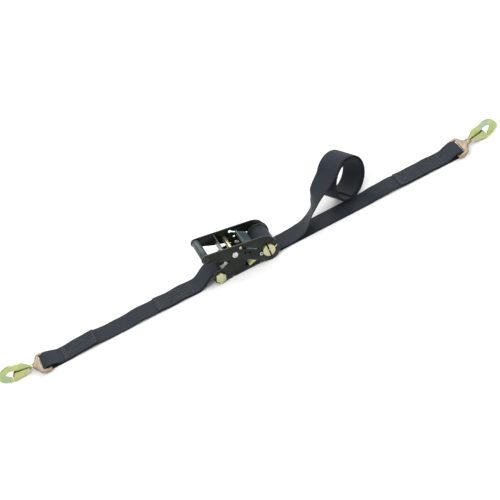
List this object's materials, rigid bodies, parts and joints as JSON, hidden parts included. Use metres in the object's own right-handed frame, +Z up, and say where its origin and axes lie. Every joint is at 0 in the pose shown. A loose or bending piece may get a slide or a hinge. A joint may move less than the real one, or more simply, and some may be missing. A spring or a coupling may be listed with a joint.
{
  "type": "ratchet tie-down strap",
  "caption": "Ratchet tie-down strap: folding lever ratchet with winding spool, flat webbing with sewn eyes, rolled free tail and twisted spring-gate snap hooks.",
  "frame": {"origin": "centre of the underside of the ratchet frame's bottom web", "axes": "+X along the strap from the short strap's hook to the long strap's hook, +Y across the webbing to the far side, +Z up from the surface it lies on"},
  "size_m": [1.099, 0.1216, 0.102],
  "materials": {
    "black_paint": "black gloss paint, worn at the edges",
    "yellow_zinc": "yellow iridescent zinc plate",
    "dark_zinc": "dark brownish zinc plate, oiled",
    "bright_steel": "bright zinc-plated steel",
    "webbing": "dark slate woven polyester webbing"
  },
  "bodies": {
    "frame": {"base_frame": "black_paint", "fixed_bolt": "yellow_zinc", "bolt_nut": "yellow_zinc", "bolt_sleeve": "yellow_zinc", "lock_pawl_spring": "bright_steel", "long_strap": "webbing", "strap_tail": "webbing", "tail_roll": "webbing"},
    "spool": {"mandrel_half_left": "yellow_zinc", "mandrel_half_right": "yellow_zinc", "ratchet_wheel_near": "dark_zinc", "ratchet_wheel_far": "dark_zinc", "cotter_pin_near": "bright_steel", "cotter_pin_far": "bright_steel", "wound_webbing": "webbing"},
    "handle": {"handle_frame": "black_paint", "grip_tube": "black_paint", "grip_rivet": "black_paint", "handle_cross_pin": "bright_steel", "drive_pawl_spring": "bright_steel"},
    "drive_pawl": {"drive_pawl": "black_paint"},
    "lock_pawl": {"lock_pawl": "yellow_zinc"},
    "short_strap": {"short_strap": "webbing"},
    "left_hook": {"left_hook_body": "yellow_zinc", "left_gate_rivet": "bright_steel", "left_gate_spring": "bright_steel"},
    "left_gate": {"left_gate": "yellow_zinc"},
    "right_hook": {"right_hook_body": "yellow_zinc", "right_gate_rivet": "bright_steel", "right_gate_spring": "bright_steel"},
    "right_gate": {"right_gate": "yellow_zinc"}
  },
  "joints": [
    {"name": "handle_swing", "type": "hinge", "parent": "frame", "child": "handle", "pos_m": [0.053, 0, 0.0245], "axis": [0, 1, 0], "range_deg": [0, 160], "deforming": ["strap_tail"]},
    {"name": "spool_spin", "type": "hinge", "parent": "frame", "child": "spool", "pos_m": [0.053, 0, 0.0245], "axis": [0, 1, 0], "continuous": true},
    {"name": "drive_pawl_slide", "type": "slide", "parent": "handle", "child": "drive_pawl", "axis": [-0.8359, 0, 0.5489], "range_m": [0, 0.005], "stiffness_N_per_m": 400, "springref_m": -0.006, "deforming": ["drive_pawl_spring"]},
    {"name": "lock_pawl_slide", "type": "slide", "parent": "frame", "child": "lock_pawl", "axis": [-0.9703, 0, -0.2419], "range_m": [0, 0.005], "stiffness_N_per_m": 400, "springref_m": -0.006, "deforming": ["lock_pawl_spring"]},
    {"name": "short_strap_pivot", "type": "hinge", "parent": "frame", "child": "short_strap", "pos_m": [-0.054, 0, 0.014], "axis": [0, 1, 0], "range_deg": [-25, 45]},
    {"name": "left_hook_swing", "type": "hinge", "parent": "short_strap", "child": "left_hook", "pos_m": [-0.425, 0, 0.0059], "axis": [0, 1, 0], "range_deg": [-60, 60]},
    {"name": "left_gate_open", "type": "hinge", "parent": "left_hook", "child": "left_gate", "pos_m": [-0.46586, 0, 0.00954], "axis": [0, 1, 0], "range_deg": [0, 20], "stiffness_Nm_per_rad": 0.05, "springref_deg": -20.05},
    {"name": "right_hook_swing", "type": "hinge", "parent": "frame", "child": "right_hook", "pos_m": [0.475, 0, 0.0059], "axis": [0, -1, 0], "range_deg": [-60, 60]},
    {"name": "right_gate_open", "type": "hinge", "parent": "right_hook", "child": "right_gate", "pos_m": [0.51586, 0, 0.00954], "axis": [0, -1, 0], "range_deg": [0, 20], "stiffness_Nm_per_rad": 0.05, "springref_deg": -20.05}
  ]
}
